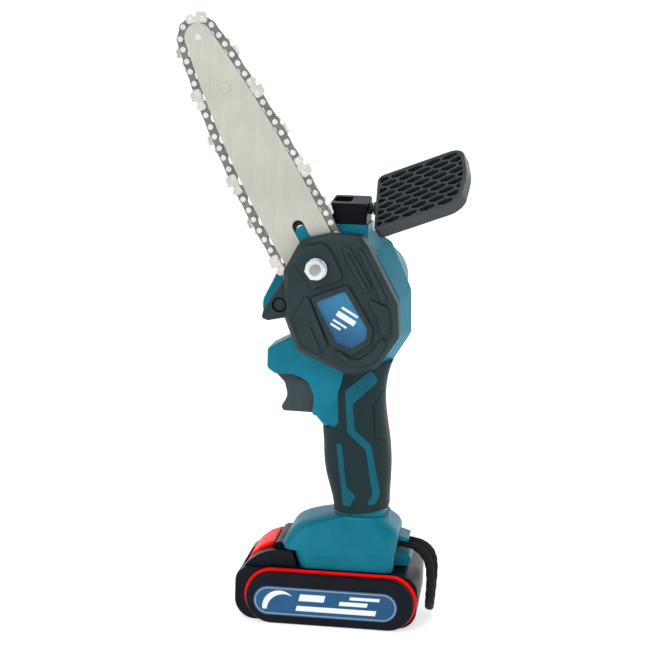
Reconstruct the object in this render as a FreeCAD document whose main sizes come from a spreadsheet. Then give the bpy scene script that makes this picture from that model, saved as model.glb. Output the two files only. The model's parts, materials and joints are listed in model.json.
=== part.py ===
import FreeCAD, Part
import Sketcher
import math
import os

# Mini cordless chainsaw that stands on its battery.
# Frame: millimetres, +Z up, the trigger side faces -X, the side cover and the saw bar lie on the -Y side.
# Origin: middle of the battery's resting face.

V = FreeCAD.Vector
doc = FreeCAD.newDocument("mini_chainsaw")

# ---------------------------------------------------------------- driving dimensions
SIZES = [
    ("bar_tilt", 29.8, "lean of the bar from upright, degrees"),
    ("nut_x", -12.7, "bar nut and stud axis"),
    ("nut_z", 205.2, ""),
    ("bar_reach", 142.9, "nut axis to nose axis"),
    ("nose_radius", 7.8, "bar nose"),
    ("rail_gap", 2.3, "rail edge to chain rivet line"),
    ("bar_near", -22.4, "bar plates, near and far faces"),
    ("bar_far", -19.6, ""),
    ("groove_near", -21.6, "groove for the drive links"),
    ("groove_far", -20.4, ""),
    ("groove_depth", 4.2, ""),
    ("tight_curve", 860, "bow radius of the tight chain run"),
    ("slack_curve", 520, "bow radius of the slack chain run"),
    ("slack_edge", 585, "bow radius of the rail under the slack run"),
    ("slot_width", 6.8, "bar slot"),
    ("slot_top", 25.2, ""),
    ("link_pitch", 6.35, "mean rivet pitch of a quarter-inch chain"),
    ("link_count", 35, "drive links"),
    ("link_holes", 5.8, "rivet spacing in a drive link"),
    ("sprocket_teeth", 7, ""),
    ("nose_teeth", 5, ""),
    ("rivet_radius", 0.95, ""),
    ("head_near", -17, "teal head, near face"),
    ("head_far", 22, "teal head, far face"),
    ("wall", 2.5, "shell wall"),
    ("motor_lean", 80, "direction from the spindle to the motor axis, degrees"),
    ("motor_radius", 17.9, ""),
    ("motor_near", -2.5, ""),
    ("motor_far", 41.5, ""),
    ("bulge_far", 45, "motor bulge of the far shell"),
    ("gear_teeth", 40, ""),
    ("pinion_teeth", 8, ""),
    ("gear_near", -12.6, ""),
    ("gear_far", -7.6, ""),
    ("gear_plate_near", -6.8, ""),
    ("gear_plate_far", -2.8, ""),
    ("spindle_radius", 4, ""),
    ("spindle_near", -27, ""),
    ("spindle_far", -3.2, ""),
    ("cover_near", -34, "side cover, outer face"),
    ("cover_wall", 2.2, ""),
    ("cover_far", -17.3, "side cover, rim on the shell"),
    ("pad_near", -36, "raised pads on the cover"),
    ("fin_near", -30.5, "outer face of the cover's fin"),
    ("tunnel_near", -25.8, "roof of the bar and chain passage"),
    ("stud_radius", 3, "M6 stud"),
    ("stud_near", -43.2, ""),
    ("stud_far", -9, ""),
    ("nut_flats", 10.4, "across flats"),
    ("screw_near", -29.7, "screw in the cover's fin"),
    ("screw_far", -28, ""),
    ("plate_near", -19.5, "black plate behind the bar"),
    ("plate_far", -17.1, ""),
    ("rubber", 1.8, "rubber thickness"),
    ("trigger_half", 6.2, "half width of the trigger"),
    ("button_radius", 4.5, "lock button"),
    ("bracket_left", -9.3, "guard bracket"),
    ("bracket_right", 12.2, ""),
    ("bracket_near", -15, ""),
    ("bracket_far", 16, ""),
    ("bracket_low", 228.7, ""),
    ("bracket_top", 240.2, "near edge of the sloping top"),
    ("bracket_slope", 2.7, "rise of the top from near to far"),
    ("hinge_y", 0.5, "guard hinge axis"),
    ("hinge_z", 236.8, ""),
    ("guard_x", 14.5, "near edge of the guard"),
    ("guard_long", 57, ""),
    ("guard_wide", 52, ""),
    ("guard_thick", 6.6, ""),
    ("guard_rise", 25.6, "lean of the guard's long axis above level, degrees"),
    ("guard_turn", 33.2, "turn of the guard about its hinge, degrees"),
    ("cell_pitch_x", 10.8, "honeycomb, long cells along the guard"),
    ("cell_pitch_y", 5.2, ""),
    ("cell_long", 9.3, ""),
    ("cell_wide", 5.2, ""),
    ("cell_depth", 5.0, ""),
    ("pack_half", 28.5, "half width of the black case"),
    ("trim_half", 31, "half width over the red trims"),
    ("cap_half", 35, "half width over the side caps"),
    ("cap_length", 96.4, ""),
    ("label_length", 82.5, ""),
    ("label_height", 17, ""),
    ("cell_radius", 9.1, "round lithium cells"),
    ("foot_low", 31.4, "underside of the teal foot"),
    ("release_travel", 2.5, "battery release button"),
    ("cord_radius", 2.2, "wrist cord"),
]

sheet = doc.addObject("Spreadsheet::Sheet", "dims")
for row, (alias, value, note) in enumerate(SIZES, 1):
    sheet.set(f"A{row}", alias)
    sheet.set(f"B{row}", str(value))
    sheet.set(f"C{row}", note)
    sheet.setAlias(f"B{row}", alias)
doc.recompute()


def size(alias):
    """Value of a sheet cell."""
    return float(sheet.get(alias))


TILT = math.radians(size("bar_tilt"))
NODES = []


def keep(item, label):
    """Make an object a sub-part: its label names its file."""
    item.Label = label
    NODES.append(item)
    return item


# ---------------------------------------------------------------- outlines
def rounded(points):
    """Closed outline in the XZ plane from corners (x, z) or (x, z, radius): lines and tangent arcs."""
    corners = []
    for index, point in enumerate(points):
        here = V(point[0], 0, point[1])
        before = V(points[index - 1][0], 0, points[index - 1][1])
        after = points[(index + 1) % len(points)]
        after = V(after[0], 0, after[1])
        radius = point[2] if len(point) > 2 else 0
        if radius == 0:
            corners.append((here, here, here))
            continue
        back = (before - here).normalize()
        ahead = (after - here).normalize()
        half = back.getAngle(ahead) / 2
        reach = radius / math.tan(half)
        bisector = (back + ahead).normalize()
        middle = here + bisector * (radius / math.sin(half) - radius)
        corners.append((here + back * reach, middle, here + ahead * reach))
    curves = []
    for index, (start, middle, end) in enumerate(corners):
        if start.distanceToPoint(end) > 1e-6:
            curves.append(Part.Arc(start, middle, end))
        following = corners[(index + 1) % len(corners)][0]
        if end.distanceToPoint(following) > 1e-6:
            curves.append(Part.LineSegment(end, following))
    return curves


def wire_at(points, depth):
    """Closed wire of an outline in the plane Y = depth."""
    wire = Part.Wire([curve.toShape() for curve in rounded(points)])
    wire.translate(V(0, depth, 0))
    return wire


def prism(points, near, far):
    """Solid of an outline between two Y planes."""
    return Part.Face(wire_at(points, near)).extrude(V(0, far - near, 0))


def disc(x, z, radius, near, far):
    """Solid cylinder along Y."""
    return Part.makeCylinder(radius, far - near, V(x, near, z), V(0, 1, 0))


def stadium_points(length, height, middle_x=0, middle_z=0, trim=0.02):
    """Corners of a slot shape lying along X."""
    half = length / 2
    high = height / 2
    radius = high - trim
    return [(middle_x - half, middle_z - high, radius), (middle_x + half, middle_z - high, radius),
            (middle_x + half, middle_z + high, radius), (middle_x - half, middle_z + high, radius)]


def band(start, end, width, radius=0):
    """Corners of a straight strip between two points (x, z), square or round at its ends."""
    along = V(end[0] - start[0], 0, end[1] - start[1]).normalize() * (width / 2)
    side = V(-along.z, 0, along.x)
    corners = []
    for point, reach in ((start, -1), (end, 1)):
        for turn in (-reach, reach):
            corner = V(point[0], 0, point[1]) + along * reach + side * turn
            corners.append((corner.x, corner.z, radius))
    return corners


def on_bar(along, across):
    """Point (x, z) at a distance along the bar from the nut and across it (plus is the +X side)."""
    return (size("nut_x") + across * math.cos(TILT) - along * math.sin(TILT),
            size("nut_z") + across * math.sin(TILT) + along * math.cos(TILT))


def fillet_rim(shape, depth, radius):
    """Round the edges that lie in the plane Y = depth."""
    rim = [edge for edge in shape.Edges
           if abs(edge.BoundBox.YMin - depth) < 1e-3 and abs(edge.BoundBox.YMax - depth) < 1e-3]
    return shape.makeFillet(radius, rim)


# ---------------------------------------------------------------- document objects
def solid(label, shape):
    """Part::Feature for a free-form piece; a one-solid compound is unwrapped."""
    if shape.ShapeType == "Compound" and len(shape.Solids) == 1:
        shape = shape.Solids[0]
    item = doc.addObject("Part::Feature", label)
    item.Shape = shape
    return keep(item, label)


def sketch_in(body, role, offset, curves):
    """Sketch on one of the body's origin planes; offset is an expression along the plane's normal."""
    sketch = body.newObject("Sketcher::SketchObject", body.Name + "_sketch")
    plane = [item for item in body.Origin.OriginFeatures if item.Role == role][0]
    sketch.AttachmentSupport = [(plane, "")]
    sketch.MapMode = "FlatFace"
    sketch.setExpression("AttachmentOffset.Base.z", offset)
    for curve in curves:
        sketch.addGeometry(curve)
    return sketch


def flat(curves):
    """Curves of the XZ plane as sketch curves (x stays, z becomes the sketch's y)."""
    turned = []
    for curve in curves:
        shape = curve.toShape()
        middle = shape.valueAt((shape.FirstParameter + shape.LastParameter) / 2)
        ends = [shape.valueAt(shape.FirstParameter), middle, shape.valueAt(shape.LastParameter)]
        start, middle, end = [V(point.x, point.z, 0) for point in ends]
        if isinstance(curve, Part.LineSegment):
            turned.append(Part.LineSegment(start, end))
        else:
            turned.append(Part.Arc(start, middle, end))
    return turned


def slab(label, outlines, near, far):
    """PartDesign body padded between the Y planes of two cells; later outlines are holes."""
    body = doc.addObject("PartDesign::Body", label)
    curves = [curve for outline in outlines for curve in flat(rounded(outline))]
    sketch = sketch_in(body, "XZ_Plane", f"-dims.{far}", curves)
    pad = body.newObject("PartDesign::Pad", label + "_pad")
    pad.Profile = sketch
    pad.setExpression("Length", f"dims.{far} - dims.{near}")
    sketch.Visibility = False
    return keep(body, label)


def add_pad(body, outline, near, far):
    """Further pad on a body between two Y planes."""
    sketch = sketch_in(body, "XZ_Plane", f"-dims.{far}", flat(rounded(outline)))
    pad = body.newObject("PartDesign::Pad", body.Name + "_pad")
    pad.Profile = sketch
    pad.setExpression("Length", f"dims.{far} - dims.{near}")
    return pad


def add_hole(body, x, z, radius_cell, near, far):
    """Round hole along Y cut through a body, its radius bound to a cell expression."""
    sketch = sketch_in(body, "XZ_Plane", f"-dims.{far}", [Part.Circle(V(x, z, 0), V(0, 0, 1), 1)])
    index = sketch.addConstraint(Sketcher.Constraint("Radius", 0, 1))
    sketch.setExpression(f"Constraints[{index}]", radius_cell)
    pocket = body.newObject("PartDesign::Pocket", body.Name + "_pocket")
    pocket.Profile = sketch
    pocket.Reversed = True
    pocket.setExpression("Length", f"dims.{far} - dims.{near}")
    return pocket


def rod(label, x, z, radius, near, far):
    """Part::Cylinder along Y; radius, near and far are expressions on the sheet."""
    item = doc.addObject("Part::Cylinder", label)
    item.Placement = FreeCAD.Placement(V(x, 0, z), FreeCAD.Rotation(V(1, 0, 0), 90))
    item.setExpression("Radius", radius)
    item.setExpression("Height", f"({far}) - ({near})")
    item.setExpression("Placement.Base.y", far)
    return item


def ring(label, x, z, outer, inner, near, far):
    """Ring along Y cut from two cylinders."""
    cut = doc.addObject("Part::Cut", label)
    cut.Base = rod(label + "_outer", x, z, outer, near, far)
    cut.Tool = rod(label + "_bore", x, z, inner, near, far)
    return keep(cut, label)


# ---------------------------------------------------------------- chain path
# The path is worked in bar coordinates (across, along); it runs up the tight side, over the nose,
# down the slack side and round the drive sprocket, always turning the same way.
NOSE_LINE = size("nose_radius") + size("rail_gap")
DRIVE_LINE = size("sprocket_teeth") * 2 * size("link_pitch") / (2 * math.pi)
CHAIN_LENGTH = size("link_count") * 2 * size("link_pitch")


def bow_centre(bow, low, low_radius, high, high_radius, side):
    """Centre of an arc of radius bow that is tangent inside to two circles standing on the bar axis."""
    reach_low = bow - low_radius
    reach_high = bow - high_radius
    span = high - low
    along = (reach_low ** 2 - reach_high ** 2 + span ** 2) / (2 * span)
    return -side * math.sqrt(reach_low ** 2 - along ** 2), low + along


def chain_arcs(drive):
    """The four tangent arcs (centre, radius, first angle, sweep) for a sprocket at this distance."""
    reach = size("bar_reach")
    arcs = []
    angles = {}
    for name, bow, side in (("tight", size("tight_curve"), 1), ("slack", size("slack_curve"), -1)):
        centre = bow_centre(bow, -drive, DRIVE_LINE, reach, NOSE_LINE, side)
        low = math.atan2(-drive - centre[1], -centre[0])
        high = math.atan2(reach - centre[1], -centre[0])
        angles[name] = (centre, low % (2 * math.pi), high % (2 * math.pi))
    centre, low, high = angles["tight"]
    low = (low + math.pi) % (2 * math.pi) - math.pi
    high = (high + math.pi) % (2 * math.pi) - math.pi
    arcs.append((centre, size("tight_curve"), low, high - low))
    slack_centre, slack_low, slack_high = angles["slack"]
    arcs.append(((0, reach), NOSE_LINE, high, slack_high - high))
    arcs.append((slack_centre, size("slack_curve"), slack_high, slack_low - slack_high))
    arcs.append(((0, -drive), DRIVE_LINE, slack_low, low + 2 * math.pi - slack_low))
    return arcs


def loop_length(arcs):
    return sum(radius * sweep for centre, radius, first, sweep in arcs)


def drive_distance():
    """Nut to sprocket axis, so that the loop holds a whole number of links."""
    shorter, longer = 25.0, 50.0
    for step in range(50):
        middle = (shorter + longer) / 2
        if loop_length(chain_arcs(middle)) > CHAIN_LENGTH:
            longer = middle
        else:
            shorter = middle
    return middle


DRIVE = drive_distance()
ARCS = chain_arcs(DRIVE)
DRIVE_X, DRIVE_Z = on_bar(-DRIVE, 0)
NOSE_X, NOSE_Z = on_bar(size("bar_reach"), 0)


def path_point(distance):
    """Point (x, z) of the rivet line at a distance along the loop."""
    distance %= CHAIN_LENGTH
    for centre, radius, first, sweep in ARCS:
        if distance <= radius * sweep:
            break
        distance -= radius * sweep
    angle = first + distance / radius
    return on_bar(centre[1] + radius * math.sin(angle), centre[0] + radius * math.cos(angle))


# A near-side cutter rides over the top of the nose, which fixes the phase of the whole chain.
# Links are numbered both ways from there, so the odd pair of straps lies inside the cover.
NOSE_START = ARCS[0][1] * ARCS[0][3]
CUTTER_AT = NOSE_START + NOSE_LINE * (math.radians(96) - TILT - ARCS[1][2])
STRAP_SPAN = 2 * size("link_pitch") - size("link_holes")


def link_ends(number, is_strap):
    """Rivet points of a drive link, or of the strap that follows it."""
    start = CUTTER_AT - STRAP_SPAN / 2 + number * 2 * size("link_pitch")
    if is_strap:
        return path_point(start), path_point(start + STRAP_SPAN)
    return path_point(start + STRAP_SPAN), path_point(start + 2 * size("link_pitch"))


def seat(shape, ends):
    """Move a link from its own frame (X outward, Z along the travel) to between two rivets."""
    (x1, z1), (x2, z2) = ends
    turn = math.degrees(math.atan2(-(x2 - x1), z2 - z1))
    placed = shape.copy()
    placed.Placement = FreeCAD.Placement(V((x1 + x2) / 2, 0, (z1 + z2) / 2),
                                         FreeCAD.Rotation(V(0, -1, 0), turn))
    return placed


BAR_MIDDLE = (size("bar_near") + size("bar_far")) / 2
LINK_HALF = 0.53
STRAP_FROM = LINK_HALF + 0.02
STRAP_TO = STRAP_FROM + 0.82
RIVET_OUT = STRAP_TO + 0.35


def pierced(shape, spacing, near, far):
    """Cut the two rivet holes of a link."""
    for along in (-spacing / 2, spacing / 2):
        shape = shape.cut(disc(0, along, size("rivet_radius") + 0.05, near, far))
    return shape


def drive_link():
    half = size("link_holes") / 2
    near, far = BAR_MIDDLE - LINK_HALF, BAR_MIDDLE + LINK_HALF
    outline = [(2.3, -half - 2.2, 2.2), (2.3, half + 2.2, 2.2), (-2.3, half + 2.2, 2.2),
               (-2.6, half + 0.2, 0.6), (-5.2, 1.3, 0.5), (-5.2, -0.9, 0.5), (-2.3, -half - 2.2, 1.2)]
    return pierced(prism(outline, near, far), size("link_holes"), near, far)


def tie_strap(side):
    half = STRAP_SPAN / 2
    near = BAR_MIDDLE + min(side * STRAP_FROM, side * STRAP_TO)
    far = BAR_MIDDLE + max(side * STRAP_FROM, side * STRAP_TO)
    outline = [(2.3, -half - 2.3, 2.0), (1.9, 0, 3), (2.3, half + 2.3, 2.0),
               (-2.2, half + 2.3, 1.9), (-1.5, 0, 3), (-2.2, -half - 2.3, 1.9)]
    return pierced(prism(outline, near, far), STRAP_SPAN, near, far)


def cutter(side):
    """Side plate with depth gauge, gullet and heel, and a top plate bent over the link."""
    half = STRAP_SPAN / 2
    near = BAR_MIDDLE + min(side * STRAP_FROM, side * STRAP_TO)
    far = BAR_MIDDLE + max(side * STRAP_FROM, side * STRAP_TO)
    outline = [(-2.2, -half - 2.5, 1.6), (-1.5, 0, 3), (-2.2, half + 2.5, 1.6), (2.5, half + 2.5, 0.8),
               (3.6, half + 1.0, 0.5), (3.4, half - 0.6, 0.5), (2.1, half - 1.3, 0.4), (2.1, 0.3, 0.4),
               (4.7, 0.1), (4.2, -half - 1.2, 0.5), (2.5, -half - 2.4, 0.8)]
    body = prism(outline, near, far)
    top_far = BAR_MIDDLE - side * 1.5
    top = prism([(3.8, 0.2), (4.7, 0.1), (4.25, -half - 0.9), (3.4, -half - 0.9)],
                min(near, top_far) if side > 0 else near, far if side > 0 else max(far, top_far))
    return pierced(body.fuse(top).removeSplitter(), STRAP_SPAN, near, far)


def rivet():
    reach = RIVET_OUT
    shank = disc(0, 0, size("rivet_radius"), BAR_MIDDLE - reach, BAR_MIDDLE + reach)
    for side in (-1, 1):
        near = BAR_MIDDLE + min(side * (STRAP_TO + 0.01), side * reach)
        far = BAR_MIDDLE + max(side * (STRAP_TO + 0.01), side * reach)
        head = disc(0, 0, 1.6, near, far)
        shank = shank.fuse(fillet_rim(head, near if side < 0 else far, 0.25))
    return shank


def build_chain():
    links, straps, cutters, rivets = [], [], [], []
    left, right = tie_strap(-1), tie_strap(1)
    cutter_near, cutter_far = cutter(-1), cutter(1)
    link, pin = drive_link(), rivet()
    half_count = int(size("link_count")) // 2
    for number in range(-half_count, half_count + 1):
        links.append(seat(link, link_ends(number, False)))
        ends = link_ends(number, True)
        near_cutter = number % 4 == 0
        far_cutter = number % 4 == 2
        (cutters if near_cutter else straps).append(seat(cutter_near if near_cutter else left, ends))
        (cutters if far_cutter else straps).append(seat(cutter_far if far_cutter else right, ends))
        for x, z in ends:
            rivets.append(pin.translated(V(x, 0, z)))
    solid("chain_drive_links", Part.makeCompound(links))
    solid("chain_tie_straps", Part.makeCompound(straps))
    solid("chain_cutters", Part.makeCompound(cutters))
    solid("chain_rivets", Part.makeCompound(rivets))


# ---------------------------------------------------------------- guide bar
def bar_curves(inset, tail):
    """Closed bar outline: a tangent bow on each side, a round nose and a chamfered tail."""
    nose = size("nose_radius") - inset
    reach = size("bar_reach")

    def point(across, along):
        x, z = on_bar(along, across)
        return V(x, z, 0)

    def bow_points(bow, side):
        """Points of a side's bow: at the nose, in its middle and at the tail, and the tail's corner."""
        across, along = bow_centre(bow, -DRIVE, DRIVE_LINE - size("rail_gap"), reach, size("nose_radius"), 1)
        bow -= inset
        tangent = math.atan2(reach - along, -across)
        tail_angle = math.asin((tail - along + 8) / bow)
        corner = across + bow * math.cos(math.asin((tail - along) / bow)) - 6
        points = [point(side * (across + bow * math.cos(angle)), along + bow * math.sin(angle))
                  for angle in (tangent, (tangent + tail_angle) / 2, tail_angle)]
        return points + [point(side * corner, tail)]

    tight = bow_points(size("tight_curve") - size("rail_gap"), 1)
    slack = bow_points(size("slack_edge"), -1)
    return [Part.Arc(tight[2], tight[1], tight[0]),
            Part.Arc(tight[0], point(0, reach + nose), slack[0]),
            Part.Arc(slack[0], slack[1], slack[2]),
            Part.LineSegment(slack[2], slack[3]),
            Part.LineSegment(slack[3], tight[3]),
            Part.LineSegment(tight[3], tight[2])]


def slot_curves():
    half = size("slot_width") / 2
    top, low = size("slot_top"), -9

    def point(across, along):
        x, z = on_bar(along, across)
        return V(x, z, 0)

    return [Part.LineSegment(point(half, low), point(half, top)),
            Part.Arc(point(half, top), point(0, top + half), point(-half, top)),
            Part.LineSegment(point(-half, top), point(-half, low)),
            Part.Arc(point(-half, low), point(0, low - half), point(half, low))]


def build_bar():
    body = doc.addObject("PartDesign::Body", "guide_bar")
    tail = -17
    layers = [("groove_near", "groove_far", size("groove_depth")),
              ("bar_near", "groove_near", 0), ("groove_far", "bar_far", 0)]
    for near, far, inset in layers:
        sketch = sketch_in(body, "XZ_Plane", f"-dims.{far}", bar_curves(inset, tail + inset) + slot_curves())
        pad = body.newObject("PartDesign::Pad", f"guide_bar_{near}")
        pad.Profile = sketch
        pad.setExpression("Length", f"dims.{far} - dims.{near}")
        if inset:
            add_hole(body, NOSE_X, NOSE_Z, "dims.nose_radius + 1.4", near, far)
    add_hole(body, NOSE_X, NOSE_Z, "dims.rivet_radius * 2", "bar_near", "bar_far")
    emboss = on_bar(size("bar_reach") - 31.3, 0.3)
    mark = add_pad(body, stadium_points(5.6, 5.6, emboss[0], emboss[1], 0.01), "bar_near", "bar_far")
    mark.setExpression("Length", "dims.bar_far - dims.bar_near + 0.45")
    keep(body, "guide_bar")
    rivet_body = rod("nose_rivet", NOSE_X, NOSE_Z, "dims.rivet_radius * 2 - 0.02",
                     "dims.bar_near - 0.2", "dims.bar_far + 0.2")
    keep(rivet_body, "nose_rivet")


def toothed(teeth, root, tip, root_width, tip_width, phase):
    """Outline of a star wheel round the origin; phase is the angle of a gap's middle."""
    points = []
    for number in range(teeth):
        middle = phase + (number + 0.5) * 2 * math.pi / teeth
        for radius, width in ((root, -root_width), (tip, -tip_width), (tip, tip_width), (root, root_width)):
            angle = middle + math.asin(width / 2 / radius)
            points.append((radius * math.cos(angle), radius * math.sin(angle), 0.4))
    return points


def link_phase(centre_x, centre_z, distance):
    """Angle, seen from a wheel, of the drive link nearest to a distance along the loop."""
    number = round((distance - CUTTER_AT) / (2 * size("link_pitch")) - 0.5)
    (x1, z1), (x2, z2) = link_ends(number, False)
    return math.atan2((z1 + z2) / 2 - centre_z, (x1 + x2) / 2 - centre_x)


def build_wheels():
    middle_nose = NOSE_START + NOSE_LINE * ARCS[1][3] / 2
    middle_drive = CHAIN_LENGTH - DRIVE_LINE * ARCS[3][3] / 2
    nose_phase = link_phase(NOSE_X, NOSE_Z, middle_nose)
    drive_phase = link_phase(DRIVE_X, DRIVE_Z, middle_drive)
    nose = prism(toothed(int(size("nose_teeth")), 3.9, 7.9, 2.2, 1.2, nose_phase),
                 size("groove_near") + 0.1, size("groove_far") - 0.1)
    nose = nose.cut(disc(0, 0, size("rivet_radius") * 2 + 0.04, -30, 0))
    nose.translate(V(NOSE_X, 0, NOSE_Z))
    solid("nose_sprocket", nose)
    drive = prism(toothed(int(size("sprocket_teeth")), 7.2, 11.2, 4.0, 2.6, drive_phase), -23.6, -18.0)
    drive = drive.fuse(disc(0, 0, 6.6, -26.0, -17.9))
    drive = drive.cut(disc(0, 0, size("spindle_radius") + 0.02, -30, 0))
    drive.translate(V(DRIVE_X, 0, DRIVE_Z))
    solid("drive_sprocket", drive)


# ---------------------------------------------------------------- gear train
def gear_curves(teeth):
    """Spur gear outline of module 1 with straight-sided teeth, centred on the origin."""
    root, tip = teeth / 2 - 1.2, teeth / 2 + 0.9
    step = 2 * math.pi / teeth
    points = []
    for number in range(teeth):
        for radius, share in ((root, -0.33), (tip, -0.13), (tip, 0.13), (root, 0.33)):
            angle = (number + share) * step
            points.append((radius * math.cos(angle), radius * math.sin(angle)))
    return points


MOTOR_REACH = (size("gear_teeth") + size("pinion_teeth")) / 2
MOTOR_X = DRIVE_X + MOTOR_REACH * math.cos(math.radians(size("motor_lean")))
MOTOR_Z = DRIVE_Z + MOTOR_REACH * math.sin(math.radians(size("motor_lean")))


def build_gears():
    teeth = int(size("gear_teeth"))
    toward = math.radians(size("motor_lean"))
    gear = prism(gear_curves(teeth), size("gear_near"), size("gear_far"))
    gear = gear.cut(disc(0, 0, size("spindle_radius") + 0.02, -30, 0))
    for number in range(6):
        angle = number * math.pi / 3
        gear = gear.cut(disc(12.2 * math.cos(angle), 12.2 * math.sin(angle), 3.4, -30, 0))
    gear.rotate(V(0, 0, 0), V(0, -1, 0), math.degrees(toward))
    gear.translate(V(DRIVE_X, 0, DRIVE_Z))
    solid("output_gear", gear)
    pinion_teeth = int(size("pinion_teeth"))
    pinion = prism(gear_curves(pinion_teeth), size("gear_near") - 0.4, size("gear_far") + 0.4)
    pinion = pinion.cut(disc(0, 0, 1.62, -30, 0))
    half_step = 180 / pinion_teeth
    pinion.rotate(V(0, 0, 0), V(0, -1, 0), math.degrees(toward) + 180 + half_step)
    pinion.translate(V(MOTOR_X, 0, MOTOR_Z))
    solid("motor_pinion", pinion)
    spindle = rod("spindle_shaft", DRIVE_X, DRIVE_Z, "dims.spindle_radius", "dims.spindle_near",
                  "dims.spindle_far")
    clip = rod("spindle_clip", DRIVE_X, DRIVE_Z, "dims.spindle_radius + 1.8", "dims.spindle_near + 0.2",
               "dims.spindle_near + 0.9")
    fuse = doc.addObject("Part::Fuse", "spindle")
    fuse.Base = spindle
    fuse.Tool = clip
    keep(fuse, "spindle")
    ring("bearing_near", DRIVE_X, DRIVE_Z, "dims.spindle_radius + 5.5", "dims.spindle_radius + 0.03",
         "-17.3", "-13.3")
    ring("bearing_far", DRIVE_X, DRIVE_Z, "dims.spindle_radius + 5.5", "dims.spindle_radius + 0.03",
         "dims.gear_plate_near", "dims.gear_plate_far")
    shaft = rod("motor_shaft", MOTOR_X, MOTOR_Z, "1.6", "dims.gear_near - 0.8",
                "dims.motor_far - 1.5")
    keep(shaft, "motor_shaft")


def build_motor():
    x, z, radius = MOTOR_X, MOTOR_Z, size("motor_radius")
    near, far = size("motor_near"), size("motor_far")
    can = disc(x, z, radius, near, far)
    can = fillet_rim(fillet_rim(can, near, 1.2), far, 1.2)
    can = can.cut(disc(x, z, 1.66, near - 1, far + 1))
    for number in range(4):
        angle = math.radians(45 + 90 * number)
        can = can.cut(disc(x + 12 * math.cos(angle), z + 12 * math.sin(angle), 2.6, far - 3, far + 1))
    solid("motor_can", can)
    outline = [(-17, 160, 4), (21, 156, 5), (28.5, 169, 5), (28, 188, 5), (19.3, 211, 4), (-4, 214, 4),
               (-9.5, 198, 3), (-17, 190, 4)]
    plate = prism(outline, size("gear_plate_near"), size("gear_plate_far"))
    plate = plate.cut(disc(DRIVE_X, DRIVE_Z, size("spindle_radius") + 5.51, -30, 0))
    plate = plate.cut(disc(x, z, 5.2, -30, 0))
    solid("gearbox_plate", plate)


# ---------------------------------------------------------------- teal shell
HEAD = [(-17, 228, 3), (8.5, 228.6, 3), (25.5, 218.5, 5), (37.6, 192, 9), (38.6, 167, 6), (26.5, 147, 3),
        (2, 141, 4), (-26, 156, 5), (-29.5, 176.2, 2), (-46.6, 176.2, 2), (-46.6, 184, 6), (-38.6, 200, 8),
        (-27, 219, 6)]
HEAD_NEAR = [(-16.5, 226, 3), (6.5, 226.3, 3), (19.5, 211.5, 5), (32.4, 188.5, 9), (33.2, 168.5, 6),
             (22.5, 150.5, 3), (2, 145, 4), (-24.5, 157.5, 5), (-28.5, 177, 2), (-44.6, 177.5, 2),
             (-45.2, 184, 6), (-37.6, 199.6, 8), (-25.5, 217.5, 6)]
HEAD_INNER = [(-12, 224, 2), (7, 224.5, 2), (20.5, 213, 3), (29.6, 190, 7), (30.4, 168.5, 5),
              (22.5, 150.6, 3), (2.5, 145.6, 3), (-21.5, 158, 4), (-25.5, 178, 2), (-29, 199, 4), (-21, 215, 4)]
SURROUND = [(-20, 172, 3), (-29.5, 162.8, 2), (-42.6, 155.6, 2), (-42.6, 144.2, 3), (-37.8, 141, 2),
            (-27, 141, 6), (-18.6, 137.2, 5), (-15.2, 129, 5), (-15.8, 118.2, 1), (-13.5, 117.6, 1.5),
            (-8.2, 111.6, 2), (-2, 112.4, 1.5), (4, 122, 4), (8, 141, 5), (16, 170, 4)]
TRIGGER_SLOT = [(-60, 141.4), (-2.4, 141.4), (-2.4, 117.2), (-60, 117.2)]
SCREW_SPOTS = [(-36, 185), (33.2, 172), (18.3, 126), (14, 72)]
BUTTON_SPOT = (-28, 150)
BRACKET_SCREW = (-2, 0.5)


def section(front, rear, half, height, corner):
    """Rounded-rectangle wire in the plane Z = height."""
    middle = (front + rear) / 2
    curves = rounded([(front, -half, corner), (rear, -half, corner), (rear, half, corner),
                      (front, half, corner)])
    wire = Part.Wire([curve.toShape() for curve in curves])
    wire.rotate(V(0, 0, 0), V(1, 0, 0), -90)
    wire.translate(V(0, 0, height))
    return wire


# Grip sections from the foot up: height, front, rear, half depth, corner radius.
GRIP = [(54, -4.5, 31.5, 17.5, 12), (63, -2.2, 29.6, 16.6, 12), (77, -5.4, 29.6, 16.4, 12),
        (92, -8.6, 29.6, 16.6, 12), (104, -9.4, 28.4, 16.8, 12), (117, -9.6, 26.2, 16.9, 12),
        (131, -4.5, 25.0, 16.8, 12), (141, -1, 26.0, 16.8, 11), (152, 0, 29.5, 16.4, 10)]


def grip_loft(inset):
    """Smooth grip body, inset by a distance all round."""
    wires = [section(front + inset, rear - inset, half - inset, height, max(corner - inset, 1.5))
             for height, front, rear, half, corner in GRIP]
    return Part.makeLoft(wires, True, False)


# Foot sections from the underside up: front, rear, half width, height, corner radius.
FOOT_BLOCK = [(-19, 34.5, 26.3, size("foot_low"), 5), (-22.4, 34.9, 26.6, 41.3, 5),
              (-28.2, 35.2, 26.4, 41.8, 5), (-29.6, 35.8, 25.8, 44.2, 6), (-27.2, 36.4, 23.6, 48.8, 8)]
FOOT_SHOULDER = [(-27.2, 36.4, 23.6, 48.8, 8), (-21.5, 35.0, 20.6, 54.4, 9), (-10.5, 31.2, 17.6, 58.4, 10),
                 (-2.4, 30.0, 16.8, 60.4, 11)]


def foot_outer():
    """Flared foot: a stepped lower block and a smooth shoulder up to the grip."""
    block = Part.makeLoft([section(*row) for row in FOOT_BLOCK], True, True)
    shoulder = Part.makeLoft([section(*row) for row in FOOT_SHOULDER], True, False)
    return block.fuse(shoulder)


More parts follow.
